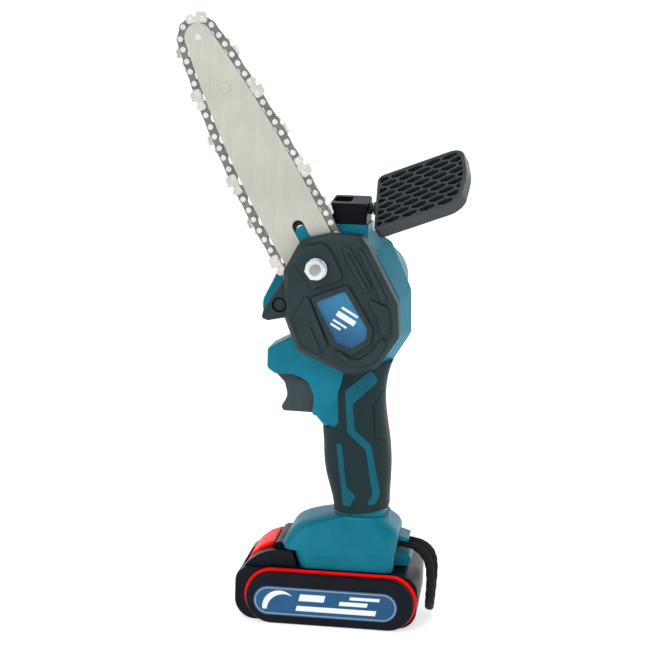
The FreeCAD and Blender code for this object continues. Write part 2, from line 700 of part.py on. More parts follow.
LUG_UPPER = [(30, 49.2, 1), (37, 49, 1), (42.4, 47.4, 0.7), (41.9, 45.9, 0.3), (30, 46.6, 0.5)]
LUG_LOWER = [(28, 40.6, 0.5), (34, 40.2, 1), (42.6, 38.6, 1.5), (44.4, 35.2, 2), (42.2, 31.6, 2), (28, 31.6, 1)]


def build_shell():
    head_low = Part.makeLoft([wire_at(HEAD_NEAR, size("head_near")), wire_at(HEAD, 0)], True, True)
    head_high = Part.makeLoft([wire_at(HEAD, 0), wire_at(HEAD_NEAR, size("head_far"))], True, True)
    bulge = disc(MOTOR_X, MOTOR_Z, 21.2, 10, size("bulge_far"))
    bulge = fillet_rim(bulge, size("bulge_far"), 5)
    surround = prism(SURROUND, -12.6, 12.6)
    surround = fillet_rim(fillet_rim(surround, -12.6, 1.6), 12.6, 1.6)
    lug = prism(LUG_UPPER, -9, 9).fuse(prism(LUG_LOWER, -10, 10))
    low, high = on_bar(7, 0), on_bar(21.6, 0)
    rib = prism(band(low, high, size("slot_width") - 0.4, 3.1), -22.0, size("head_near") + 1)
    seat_block = Part.makeBox(22.4, 33, 8, V(-9, -16, size("bracket_low") - 8.05))
    seat_block = seat_block.makeFillet(1.2, [edge for edge in seat_block.Edges if edge.BoundBox.ZLength > 7])
    lines = [prism(stadium_points(25, 0.9, -0.5, 38.3), min(side * 26.9, side * 25), max(side * 26.9, side * 25))
             for side in (-1, 1)]
    outer = head_low.fuse([head_high, surround, grip_loft(size("rubber")), foot_outer(), lug, bulge, rib,
                           seat_block] + lines)
    hollow = prism(HEAD_INNER, size("head_near") + size("wall"), size("head_far") - size("wall"))
    hollow = hollow.fuse(disc(MOTOR_X, MOTOR_Z, size("motor_radius") + 0.3, size("motor_near") - 0.3,
                              size("motor_far") + 0.4))
    boss = disc(DRIVE_X, DRIVE_Z, size("spindle_radius") + 8.5, size("head_near"), -13.0)
    boss = boss.fuse(disc(size("nut_x"), size("nut_z"), 6.5, size("head_near"), -8.6))
    screw_posts = [disc(x, z, 3.4, -14, 14) for x, z in SCREW_SPOTS]
    hollow = hollow.cut([boss] + screw_posts)
    grip_hollow = grip_loft(size("rubber") + size("wall")).cut(screw_posts)
    foot_hollow = Part.makeBox(55.6, 40.6, 14, V(-24.2, -20.3, 31))
    foot_mouth = Part.makeBox(40, 40.6, 13.7, V(-60, -20.3, 30.9))
    wire_room = Part.makeBox(21, 26, 12, V(2, -13, 44.5))
    cord_room = Part.makeBox(13, 14.4, 5.4, V(33, -7.2, 40.4))
    slot_half = size("trigger_half") + 0.4
    trigger_room = prism(TRIGGER_SLOT, -slot_half, slot_half)
    switch_room = prism([(-24, 141), (-14, 158), (10, 156), (10, 116), (-3, 116), (-3, 139)], -10.5, 10.5)
    cuts = [hollow, grip_hollow, foot_hollow, foot_mouth, wire_room, cord_room, trigger_room, switch_room,
            disc(DRIVE_X, DRIVE_Z, size("spindle_radius") + 5.51, size("head_near") - 0.3, -13.3),
            disc(DRIVE_X, DRIVE_Z, size("spindle_radius") + 3, -14, -12),
            disc(size("nut_x"), size("nut_z"), size("stud_radius") + 0.02, size("head_near") - 1,
                 size("stud_far")),
            disc(*BUTTON_SPOT, size("button_radius") + 0.3, 2, 15),
            Part.makeCylinder(2.02, 14, V(*BRACKET_SCREW, 219))]
    for number in range(11):
        share = number / 10
        x = -46.1 + 8.6 * share ** 1.6
        z = 179.2 + 19.6 * share
        cuts.append(disc(x, z, 0.75, size("head_near") - 1, size("head_near") + 7))
    shell = outer.cut(cuts)
    near_half = Part.makeBox(200, 60, 300, V(-100, -60.02, 0))
    far_half = Part.makeBox(200, 60, 300, V(-100, 0.02, 0))
    left = shell.common(near_half)
    right = shell.common(far_half)
    for index, (x, z) in enumerate(SCREW_SPOTS, 1):
        right = right.cut([disc(x, z, 3.2, 8.5, 30), disc(x, z, 1.72, -1, 30)])
        left = left.cut(disc(x, z, 1.72, -9, 1))
    solid("housing_left", left)
    solid("housing_right", right)
    return outer


# ---------------------------------------------------------------- grip rubber and inlays
RUBBER_ZONE = [(-14, 111.3), (-8, 111.3), (-2, 112.2, 2), (0.2, 115, 2), (-0.8, 128.8, 6), (-1.4, 139.6, 2),
               (3, 144.2, 4), (21, 150.9, 4), (36, 150.9), (36, 66.4), (18.5, 63.2, 10), (8.2, 62, 10),
               (-14, 63.6)]
INLAYS = {
    "upper": [(3.3, 133.9, 2), (17.2, 146.2, 1.5), (19.0, 145.8, 1), (21.8, 140.1, 1.5), (8.0, 126.6, 3),
              (9.6, 111.8, 3), (19.2, 103.4, 3), (20.9, 96, 8), (25.2, 74.2, 2), (22.8, 68.8, 1.5),
              (17.3, 67.6, 1), (20.9, 73.9, 2), (16.4, 100.2, 4), (5.4, 110.0, 3)],
    "lower": [(-0.8, 103.4, 1), (2.2, 103.4, 1), (5.9, 78, 3), (11.4, 72.8, 1), (8.1, 66.7, 0.8),
              (4.2, 66.7, 0.8)],
}


def build_grip(outer):
    skin = grip_loft(0).common(prism(RUBBER_ZONE, -30, 30)).cut(outer)
    proud = grip_loft(-0.15).cut(outer)
    halves = {"left": Part.makeBox(200, 60, 300, V(-100, -60.02, 0)),
              "right": Part.makeBox(200, 60, 300, V(-100, 0.02, 0))}
    for side, half in halves.items():
        near, far = (-30, -4) if side == "left" else (4, 30)
        cutters = [prism(outline, near, far) for outline in INLAYS.values()]
        strips = [strip for cutter_prism in cutters for strip in proud.common(cutter_prism).Solids]
        solid("grip_inlay_" + side, Part.makeCompound(strips))
        solid("grip_rubber_" + side, skin.common(half).cut(cutters))


# ---------------------------------------------------------------- side cover and bar clamp
COVER = [(-31.5, 203, 3), (-22, 221, 9), (-6, 225, 10), (11, 223.5, 4), (15.5, 218, 4), (32.6, 187, 9),
         (34, 168.5, 4), (22.5, 150.5, 7), (7, 145.6, 10), (-23, 158.5, 5), (-30.5, 177.5, 4)]
COVER_FACE = [(-28.9, 202.3, 3), (-20.4, 218.8, 8), (-6, 222.8, 9), (10, 221.4, 3.5), (13.9, 216.8, 3.5),
              (30.4, 186.3, 8), (31.7, 169.5, 3.5), (21.3, 152.5, 6.5), (7, 147.9, 9), (-21.1, 160, 4.5),
              (-28.2, 177.8, 4)]
COVER_INNER = [(-29, 202.3, 2), (-20.6, 218.6, 7), (-6, 222.6, 8), (9.8, 221.2, 3), (13.6, 216.8, 3),
               (30.3, 186.3, 7), (31.7, 169.3, 3), (21.3, 152.7, 6), (7, 148, 8), (-21.1, 160.2, 4),
               (-28.1, 177.9, 3)]
FIN = [(-28.6, 203.5, 2), (-35.8, 191.2, 9), (-42.6, 180.4, 4), (-43.7, 175.6, 1.6), (-40, 174.4, 2),
       (-28, 176.9, 1), (-24, 190, 2)]
NUT_PAD = [(-25.4, 208.6, 2), (-21, 217.4, 5), (-8.4, 219.6, 6), (-3.6, 213.2, 3), (2.4, 200.4, 2),
           (-14.8, 193.8, 2)]
FIN_SCREW = (-33.4, 183.6)
BADGE = [(-12.6, 186.6, 1.5), (3.6, 193.6, 1.5), (16.6, 173.2, 1), (15.8, 166.7, 1), (8, 161.6, 1),
         (-0.3, 164.4, 1)]
BADGE_FRAME = [(-15.6, 189.2, 2), (4.8, 197.2, 2), (19.8, 173.4, 3), (18.6, 164.8, 3), (8.6, 157.8, 2),
               (-3.4, 162.4, 3)]
RIDGES = [
    [(0.9, 217.4, 1), (5.2, 218.2, 1), (18.6, 196, 1.5), (15.2, 192.2, 1.5), (5, 208, 3)],
    [(9.4, 217.6, 0.6), (12.6, 216.4, 0.8), (27.6, 188.4, 1.5), (23.8, 187, 1.5), (18.4, 199.4, 3)],
    [(15.6, 190.4, 1), (27.8, 185.4, 3), (29.4, 172, 2), (24.4, 168.4, 2), (22.2, 176.4, 2)],
    [(-1.4, 158.6, 1), (6.4, 152.2, 4), (14.6, 151.4, 6), (23, 156.4, 5), (28, 166.4, 2), (24.2, 168, 1),
     (18.6, 160, 5), (12.4, 155.4, 3), (6.8, 156.2, 3), (1.6, 160.2, 1)],
    [(-25.4, 177.4, 2), (-18.2, 190.6, 2), (-15.6, 187.2, 1), (-5.4, 163.4, 2), (-10, 157.6, 2),
     (-19.4, 162.6, 4)],
]
GROOVES = [((16.6, 188.2), (22.2, 178.4)), ((-14.4, 172), (-8.6, 160.2)), ((-20.8, 199.4), (-16, 190.6)),
           ((5, 214.4), (16, 196))]


def raised(outline, near, soften=0.7):
    """Raised pad on the cover with a softened rim."""
    return fillet_rim(prism(outline, near, -33.5), near, soften)


def build_cover():
    near, far = size("cover_near"), size("cover_far")
    step = near + 2.6
    wall = prism(COVER, step, far)
    top = Part.makeLoft([wire_at(COVER, step), wire_at(COVER_FACE, near)], True, True)
    fin = fillet_rim(prism(FIN, size("fin_near"), size("tunnel_near")), size("fin_near"), 1.2)
    pads = [raised(NUT_PAD, size("pad_near")), raised(BADGE_FRAME, size("pad_near"))]
    pads += [raised(outline, -35.2) for outline in RIDGES]
    cover = wall.fuse([top, fin] + pads)
    inner = prism(COVER_INNER, near + size("cover_wall"), far + 1)
    clamp = disc(size("nut_x"), size("nut_z"), 7.5, near, size("bar_near") - 0.1)
    inner = inner.cut(clamp)
    corner_low, corner_high = on_bar(-6, 0), on_bar(70, 0)
    tunnel = prism(band(corner_low, corner_high, 46), size("tunnel_near"), far + 1)
    tunnel = tunnel.cut(clamp)
    fin_hole = [disc(*FIN_SCREW, 4.4, -40, size("screw_far") + 0.02), disc(*FIN_SCREW, 1.6, -40, 0)]
    badge_room = prism(BADGE, -40, near)
    grooves = [prism(band(start, end, 1.3), -40, -34.6) for start, end in GROOVES]
    stud_hole = disc(size("nut_x"), size("nut_z"), size("stud_radius") + 0.05, -50, 0)
    cover = cover.cut([inner, tunnel, badge_room, stud_hole] + fin_hole + grooves)
    solid("side_cover", cover)
    badge = prism(BADGE, -35.3, near)
    badge = badge.cut(prism(badge_border(), -35.6, -35.0))
    solid("cover_badge", badge)
    washer = disc(size("nut_x"), size("nut_z"), 6.1, -36.7, size("pad_near"))
    nut = prism(hexagon(size("nut_flats") / math.sqrt(3), 8), -41.4, -36.7)
    bevel = Part.makeCone(10.2, 5.1, 5.1, V(0, -36.6, 0), V(0, -1, 0))
    nut = nut.common(bevel)
    nut.translate(V(size("nut_x"), 0, size("nut_z")))
    nut = nut.fuse(washer).cut(disc(size("nut_x"), size("nut_z"), size("stud_radius") + 0.02, -50, 0))
    solid("bar_nut", nut)
    keep(rod("bar_stud", size("nut_x"), size("nut_z"), "dims.stud_radius", "dims.stud_near",
             "dims.stud_far"), "bar_stud")
    slab("cover_screw", [stadium_points(6.4, 6.4, *FIN_SCREW, 0.01)], "screw_near", "screw_far")
    corners = [on_bar(-13, -10), on_bar(-13, 10), on_bar(26, 11), on_bar(30, 8), on_bar(30, -8),
               on_bar(26, -11)]
    slot = band(on_bar(-0.6, 0), on_bar(21.8, 0), 7.0, 3.4)
    slab("bar_pad", [corners, slot], "plate_near", "plate_far")


def badge_border():
    """Inner panel of the badge, a constant margin inside its edge."""
    middle_x = sum(corner[0] for corner in BADGE) / len(BADGE)
    middle_z = sum(corner[1] for corner in BADGE) / len(BADGE)
    return [(middle_x + (x - middle_x) * 0.9, middle_z + (z - middle_z) * 0.9, radius)
            for x, z, radius in BADGE]


def hexagon(reach, turn):
    """Hexagon corners round the origin; turn in degrees."""
    return [(reach * math.cos(math.radians(60 * number + turn)),
             reach * math.sin(math.radians(60 * number + turn))) for number in range(6)]


def build_screws():
    for number, (x, z) in enumerate(SCREW_SPOTS, 1):
        head = disc(x, z, 3.1, 8.5, 11).cut(prism(
            [(x - 0.5, z - 2), (x + 0.5, z - 2), (x + 0.5, z + 2), (x - 0.5, z + 2)], 10, 12))
        solid(f"housing_screw_{number}", head.fuse(disc(x, z, 1.7, -8.5, 8.6)))


# ---------------------------------------------------------------- guard
def build_guard():
    left, right = size("bracket_left"), size("bracket_right")
    near, far = size("bracket_near"), size("bracket_far")
    low, top = size("bracket_low"), size("bracket_top")
    axis = (size("hinge_y"), size("hinge_z"))
    slope = size("bracket_slope")
    profile = [V(left, near, low), V(left, far, low), V(left, far, top + slope), V(left, near, top)]
    block = Part.Face(Part.makePolygon(profile + profile[:1])).extrude(V(right - left, 0, 0))
    block = block.makeFillet(1.6, [edge for edge in block.Edges if edge.BoundBox.ZMax > low + 0.1])
    pocket = Part.makeBox(10.5, 17, 9, V(left + 1.4, -8, top - 5.4))
    pocket = pocket.makeFillet(3, [edge for edge in pocket.Edges if edge.BoundBox.ZLength > 6])
    pin_hole = Part.makeCylinder(2.02, 30, V(4.8, *axis), V(1, 0, 0))
    screw_hole = Part.makeCylinder(2.02, 20, V(*BRACKET_SCREW, 225))
    solid("guard_bracket", block.cut([pocket, pin_hole, screw_hole]))
    screw = Part.makeCylinder(3.4, 2.4, V(*BRACKET_SCREW, top - 5.4))
    screw = screw.fuse(Part.makeCylinder(2, 15, V(*BRACKET_SCREW, top - 20)))
    solid("bracket_screw", screw.cut(Part.makeBox(0.9, 5, 2, V(BRACKET_SCREW[0] - 0.45, -2, top - 4.2))))
    pin = Part.makeCylinder(2, 17.2, V(5, *axis), V(1, 0, 0))
    solid("guard_pin", pin.fuse(Part.makeCylinder(3.3, 1.6, V(right + 0.2, *axis), V(1, 0, 0))))
    build_guard_plate(axis)


def build_guard_plate(axis):
    """Honeycomb plate in its own frame (X long, Y wide, face up), then leaned and turned on its hinge."""
    length, half, thick = size("guard_long"), size("guard_wide") / 2, size("guard_thick")

    def level(points, bottom, top):
        shape = prism([(x, y, radius) for x, y, radius in points], -top, -bottom)
        shape.rotate(V(0, 0, 0), V(1, 0, 0), -90)
        shape = shape.mirror(V(0, 0, 0), V(0, 1, 0))
        return shape

    outline = [(0.4, -half, 4), (length - 2.5, -half, 10), (length + 2, 0, 40), (length - 1, half, 10),
               (3.4, half, 4)]
    rim = 2.0
    inside = [(0.4 + rim, rim - half, 2.6), (length - 4.6, rim - half, 8), (length - 0.2, 0, 38),
              (length - 3.4, half - rim, 8), (3.2 + rim, half - rim, 2.6)]
    plate = level(outline, -thick, 0)
    rims = [edge for edge in plate.Edges if edge.BoundBox.ZLength < 1e-3]
    plate = plate.makeFillet(0.7, rims)
    pitch_x, pitch_y = size("cell_pitch_x"), size("cell_pitch_y")
    long, wide = size("cell_long") / 2, size("cell_wide") / 2
    cell = [(0, wide, 0.4), (long, wide / 2, 0.4), (long, -wide / 2, 0.4), (0, -wide, 0.4),
            (-long, -wide / 2, 0.4), (-long, wide / 2, 0.4)]
    cells = []
    for row in range(-5, 6):
        for column in range(6):
            x = 3.6 + (column + (row % 2) / 2) * pitch_x
            y = row * pitch_y
            cells.append(level([(x + cx, y + cy, radius) for cx, cy, radius in cell],
                               -size("cell_depth"), 1))
    room = level(inside, -size("cell_depth"), 1)
    plate = plate.cut(room.common(Part.makeCompound(cells)))
    barrel_from = size("guard_x") + 0.1
    plate.translate(V(0, 0, thick / 2))
    plate.rotate(V(0, 0, 0), V(0, -1, 0), size("guard_rise"))
    plate.translate(V(size("guard_x") + 0.8, *axis))
    barrel = Part.makeCylinder(3.7, 10, V(barrel_from, *axis), V(1, 0, 0))
    plate = plate.fuse(barrel).cut(Part.makeCylinder(2.05, 8, V(barrel_from - 0.2, *axis), V(1, 0, 0)))
    plate = plate.cut(Part.makeCylinder(3.7, 3.2, V(barrel_from - 3.3, *axis), V(1, 0, 0)))
    plate.rotate(V(0, *axis), V(1, 0, 0), size("guard_turn"))
    solid("chip_guard", plate)


# ---------------------------------------------------------------- trigger, switch and lock
TRIGGER = [(-38.6, 140.7, 0.6), (-33, 135.2, 5), (-31, 127.5, 7), (-34.8, 120.7, 2.2), (-33.2, 118.4, 1),
           (-8.6, 118, 1), (-8.6, 137.6, 1), (-24, 137.8, 2), (-26.6, 140.7, 1)]


def build_controls():
    half = size("trigger_half")
    trigger = prism(TRIGGER, -half, half)
    trigger = fillet_rim(fillet_rim(trigger, -half, 0.9), half, 0.9)
    bore = Part.makeCylinder(2.9, 13, V(-21, 0, 128), V(1, 0, 0))
    solid("trigger", trigger.cut(bore))
    solid("trigger_spring", coil(V(-14.6, 0, 128), V(1, 0, 0), 2.2, 12.2, 6))
    body = Part.makeBox(16, 16, 16, V(-2.2, -8, 120))
    solid("switch_body", body.makeChamfer(1, body.Edges))
    x, z = BUTTON_SPOT
    button = disc(x, z, size("button_radius"), 6.6, 14.8)
    button = fillet_rim(button, 14.8, 1)
    solid("lock_button", button)
    solid("lock_spring", coil(V(x, 2.05, z), V(0, 1, 0), 2.6, 1.4, 1))


def coil(start, direction, radius, length, turns):
    """Pressed coil spring drawn as touching round rings on one sleeve."""
    wire = length / turns / 2
    sleeve = Part.makeCylinder(radius + 0.05, length, start, direction)
    sleeve = sleeve.cut(Part.makeCylinder(radius - 0.3, length, start, direction))
    for number in range(turns):
        middle = start + direction * (wire * (2 * number + 1))
        sleeve = sleeve.fuse(Part.makeTorus(radius, min(wire, 0.5), middle, direction))
    return sleeve


# ---------------------------------------------------------------- battery
CASE = [(-55.4, 0, 12), (49.4, 0, 11), (49.4, 30.6, 9), (-55.4, 30.6, 8)]
SHOULDER = [(-54, 24, 1), (-51.6, 29, 4), (-48.2, 33.6, 6), (-43, 37.6, 6), (-37.5, 39.8, 6), (-31, 41, 2),
            (-23.4, 40.6, 1), (-20.2, 31, 1), (-24, 27)]
HUMP = [(-52, 27), (-47, 30.2, 2), (-40, 33.2, 4), (-35.4, 39.4, 1), (-34, 43.4, 1), (-31.6, 44.3, 1),
        (-24.7, 44.3, 1), (-24.7, 27)]
RELEASE = [(-51.6, 28.4), (-48.6, 34.4, 6), (-43.6, 39.2, 8), (-38.8, 41.8, 6), (-34.6, 43, 1), (-35.8, 39.6),
           (-43, 33.4)]
RELEASE_HALF = 15


BLADES = (-11, -4, 4, 11)


def build_battery():
    half = size("pack_half")
    case = prism(CASE, -half, half)
    case = case.fuse([prism(SHOULDER, -25.6, 25.6), prism(HUMP, -19.8, 19.8)])
    tower = Part.makeBox(52.4, 38.8, 14, V(-22, -19.4, 30))
    tower = tower.cut(Part.makeBox(48, 34, 12, V(-20, -17, 29.5)))
    tower = tower.cut([Part.makeBox(60, 3, 2.4, V(-26, side * 19.4 - 1.5, 36)) for side in (-1, 1)])
    cells = prism(stadium_points(93, 23, 0, 15.5), -half - 1, half + 1)
    pocket = Part.makeBox(24, 30, 6, V(-50, -15, 28))
    case = case.fuse(tower).cut([cells, pocket])
    drop = size("release_travel") + 0.3
    button_room = [(-53, 27.4 - drop), (-43, 33.4 - drop), (-35.8, 39.6 - drop), (-34.2, 43 - drop),
                   (-34.2, 50), (-53, 50)]
    case = case.cut(prism(button_room, -RELEASE_HALF - 0.4, RELEASE_HALF + 0.4))
    case = case.cut([Part.makeBox(7.2, 1.0, 12, V(11.9, y - 0.1, 34)) for y in BLADES])
    solid("battery_case", case)
    for side, name in ((-1, "left"), (1, "right")):
        near, far = sorted((side * size("trim_half"), side * half))
        trim = prism(stadium_points(98.8, 31.2, 0, 15.6), near, far)
        trim = trim.cut(prism(stadium_points(93, 23, 0, 15.5), near - 1, far + 1))
        solid("battery_trim_" + name, trim)
        near, far = sorted((side * size("cap_half"), side * size("trim_half")))
        cap = prism(stadium_points(size("cap_length"), 30, 0, 15.1), near, far)
        cap = fillet_rim(cap, side * size("cap_half"), 1.6)
        inner_near, inner_far = sorted((side * (size("trim_half") - 1), side * 32.8))
        cap = cap.cut(prism(stadium_points(93, 23, 0, 15.5), inner_near, inner_far))
        outer_near, outer_far = sorted((side * 34.6, side * 36))
        label = stadium_points(size("label_length"), size("label_height"), -2.3 * -side, 13.8)
        cap = cap.cut(prism(label, outer_near, outer_far))
        solid("battery_cap_" + name, cap)
        outer_near, outer_far = sorted((side * 34.61, side * 35.2))
        label = stadium_points(size("label_length") - 0.04, size("label_height") - 0.04, -2.3 * -side, 13.8)
        solid("battery_label_" + name, prism(label, outer_near, outer_far))
    for number in range(5):
        x = (number - 2) * 18.4
        cell = disc(x, 15.5, size("cell_radius"), -32.2, 31.4)
        cell = cell.fuse(disc(x, 15.5, 3, 31.4, 32.4))
        solid(f"battery_cell_{number + 1}", cell)
    solid("battery_board", Part.makeBox(40, 30, 1.6, V(-16, -15, 33)))
    blades = [Part.makeBox(7, 0.8, 10, V(12, y, 34.6)) for y in BLADES]
    solid("battery_contacts", Part.makeCompound(blades))
    release = prism(RELEASE, -RELEASE_HALF, RELEASE_HALF)
    release = release.cut(Part.makeCylinder(3.3, 10, V(-41, 0, 26)))
    solid("release_button", fillet_rim(fillet_rim(release, -RELEASE_HALF, 1.2), RELEASE_HALF, 1.2))
    solid("release_spring", coil(V(-41, 0, 28.02), V(0, 0, 1), 2.4, 5.2, 5))
    solid("terminal_block", Part.makeBox(19, 24, 6, V(3, -12, 45.6)))


# ---------------------------------------------------------------- wrist cord
CORD_LEG = [(34, -4.4, 43.3), (42.8, -4.6, 43.5), (50.5, -7.1, 40.2), (54.9, -10.6, 34.5), (56.2, -15, 26.5),
            (56, -15.5, 17.5), (55.6, -11.4, 9.9), (55.4, -4.2, 5.6)]
CORD = CORD_LEG + [(x, -y, z) for x, y, z in reversed(CORD_LEG)]


def cord_tube(points, radius):
    """Straight runs joined by tangent arcs, each arc as large as its two runs allow."""
    points = [V(*point) for point in points]
    edges = []
    start = points[0]
    for before, here, after in zip(points, points[1:], points[2:]):
        back, ahead = before - here, after - here
        turn = math.pi - back.getAngle(ahead)
        reach = 0.45 * min(back.Length, ahead.Length)
        bend = reach / math.tan(turn / 2)
        back.normalize()
        ahead.normalize()
        first, last = here + back * reach, here + ahead * reach
        centre = here + (back + ahead).normalize() * (bend / math.cos(turn / 2))
        middle = centre + (here - centre).normalize() * bend
        edges += [Part.LineSegment(start, first).toShape(), Part.Arc(first, middle, last).toShape()]
        start = last
    edges.append(Part.LineSegment(start, points[-1]).toShape())
    path = Part.Wire(edges)
    profile = Part.Wire(Part.makeCircle(radius, points[0], points[1] - points[0]))
    return path.makePipeShell([profile], True, True)


# ---------------------------------------------------------------- build, check and write
build_chain()
build_bar()
build_wheels()
build_gears()
build_motor()
build_grip(build_shell())
build_cover()
build_screws()
build_guard()
build_controls()
build_battery()
solid("lanyard_cord", cord_tube(CORD, size("cord_radius")))
doc.recompute()

for item in doc.Objects:
    if "Invalid" in item.State or "Error" in item.State:
        raise RuntimeError(f"{item.Name} failed to compute: {item.State}")
broken = [item.Label for item in NODES if item.Shape.isNull() or not item.Shape.isValid()]
if broken:
    raise RuntimeError("invalid shapes: " + ", ".join(broken))
os.makedirs("parts", exist_ok=True)
for item in NODES:
    item.Shape.exportStep(f"parts/{item.Label}.step")
print(len(NODES), "sub-parts written")
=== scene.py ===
import json
import math

import bmesh
import bpy
from mathutils import Matrix, Vector


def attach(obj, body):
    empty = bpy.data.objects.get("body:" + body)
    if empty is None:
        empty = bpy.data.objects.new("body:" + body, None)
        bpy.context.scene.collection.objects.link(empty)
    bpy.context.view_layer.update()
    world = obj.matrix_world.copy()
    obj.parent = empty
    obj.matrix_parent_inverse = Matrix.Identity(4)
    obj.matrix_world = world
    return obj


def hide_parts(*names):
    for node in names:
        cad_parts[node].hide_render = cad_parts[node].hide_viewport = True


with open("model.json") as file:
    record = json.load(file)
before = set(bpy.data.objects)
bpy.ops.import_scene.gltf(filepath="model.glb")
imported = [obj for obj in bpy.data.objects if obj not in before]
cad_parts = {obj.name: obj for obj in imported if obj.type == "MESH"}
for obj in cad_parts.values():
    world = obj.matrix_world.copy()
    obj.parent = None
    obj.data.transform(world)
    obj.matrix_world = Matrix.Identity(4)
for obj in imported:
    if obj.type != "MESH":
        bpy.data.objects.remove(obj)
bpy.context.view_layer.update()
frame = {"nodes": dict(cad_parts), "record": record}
scene = bpy.context.scene
MM = 0.001


# ---------------------------------------------------------------- camera, at the photograph's angle
AZIMUTH, ELEVATION, ROLL = (math.radians(angle) for angle in (7.0, 9.0, -1.7))
TARGET = Vector((-0.0087, -0.021, 0.172))
DISTANCE = 0.9
FOCAL_SHARE = 2.46372844  # focal length as a share of the image's width
SENSOR = 36.0
CLIP_NEAR, CLIP_FAR = 0.01, 50

level = Vector((math.cos(AZIMUTH), math.sin(AZIMUTH), 0))
back = Vector((math.sin(AZIMUTH) * math.cos(ELEVATION), -math.cos(AZIMUTH) * math.cos(ELEVATION),
               math.sin(ELEVATION)))
upright = back.cross(level)
side = level * math.cos(ROLL) - upright * math.sin(ROLL)
top = level * math.sin(ROLL) + upright * math.cos(ROLL)

camera = bpy.data.objects.new("camera", bpy.data.cameras.new("camera"))
scene.collection.objects.link(camera)
camera.data.sensor_width = SENSOR
camera.data.lens = SENSOR * FOCAL_SHARE
camera.data.clip_start, camera.data.clip_end = CLIP_NEAR, CLIP_FAR
camera.rotation_mode = "QUATERNION"
turn = Matrix((side, top, back)).transposed()
camera.rotation_quaternion = turn.to_quaternion()
camera.location = TARGET + back * DISTANCE
scene.camera = camera


# ---------------------------------------------------------------- wrist cord
CORD_DIAMETER, CORD_LENGTH = 0.0044, 0.1278
# The route out of the lug and down to the lowest point, in mm; the other half is its mirror image.
CORD_LEG = [(34, -4.4, 43.3), (42.8, -4.6, 43.5), (50.5, -7.1, 40.2), (54.9, -10.6, 34.5), (56.2, -15, 26.5),
            (56, -15.5, 17.5), (55.6, -11.4, 9.9), (55.4, -4.2, 5.6)]
CORD_ROUTE = CORD_LEG + [(x, -y, z) for x, y, z in reversed(CORD_LEG)]
CURVE_STEPS = 24
RING_STEP, RING_SIDES = 0.00032, 48
BRAID_PITCH, BRAID_STRANDS, BRAID_TURNS, BRAID_RELIEF = 0.0060, 8, 2, 0.00030
STRAND_CREST, STRAND_DIP = 0.6, 0.4
# The plait is round at the lug and flattens over this distance from each end.
FLAT_FROM, FLAT_FULL = 0.009, 0.018
FLAT_WIDER, FLAT_THINNER = 1.2, 0.95


def centreline(route):
    """Points along the smooth NURBS line of a route given in mm, evenly spaced."""
    curve = bpy.data.curves.new("cord_line", "CURVE")
    curve.dimensions = "3D"
    curve.resolution_u = CURVE_STEPS
    spline = curve.splines.new("NURBS")
    spline.points.add(len(route) - 1)
    for point, place in zip(spline.points, route):
        point.co = (*(MM * value for value in place), 1)
    spline.order_u = 3
    spline.use_endpoint_u = True
    holder = bpy.data.objects.new("cord_line", curve)
    mesh = bpy.data.meshes.new_from_object(holder)
    points = [vertex.co.copy() for vertex in mesh.vertices]
    bpy.data.objects.remove(holder)
    bpy.data.meshes.remove(mesh)
    reached, far = [0.0], 0.0
    for first, second in zip(points, points[1:]):
        far += (second - first).length
        reached.append(far)
    count = round(far / RING_STEP)
    even, index = [], 0
    for number in range(count + 1):
        want = far * number / count
        while index < len(points) - 2 and reached[index + 1] < want:
            index += 1
        share = (want - reached[index]) / max(reached[index + 1] - reached[index], 1e-9)
        even.append(points[index].lerp(points[index + 1], min(1.0, share)))
    return even


def braid_height(along, round_share):
    """Relief of a round plait: two families of strands that pass over and under each other."""
    forward = BRAID_STRANDS * (round_share + along / BRAID_PITCH / BRAID_STRANDS * BRAID_TURNS)
    backward = BRAID_STRANDS * (round_share - along / BRAID_PITCH / BRAID_STRANDS * BRAID_TURNS)
    over = STRAND_CREST + STRAND_DIP * math.cos(math.pi * backward)
    under = STRAND_CREST - STRAND_DIP * math.cos(math.pi * forward)
    first = math.cos(math.pi * (forward % 1 - 0.5)) * over
    second = math.cos(math.pi * (backward % 1 - 0.5)) * under
    return max(first, second)


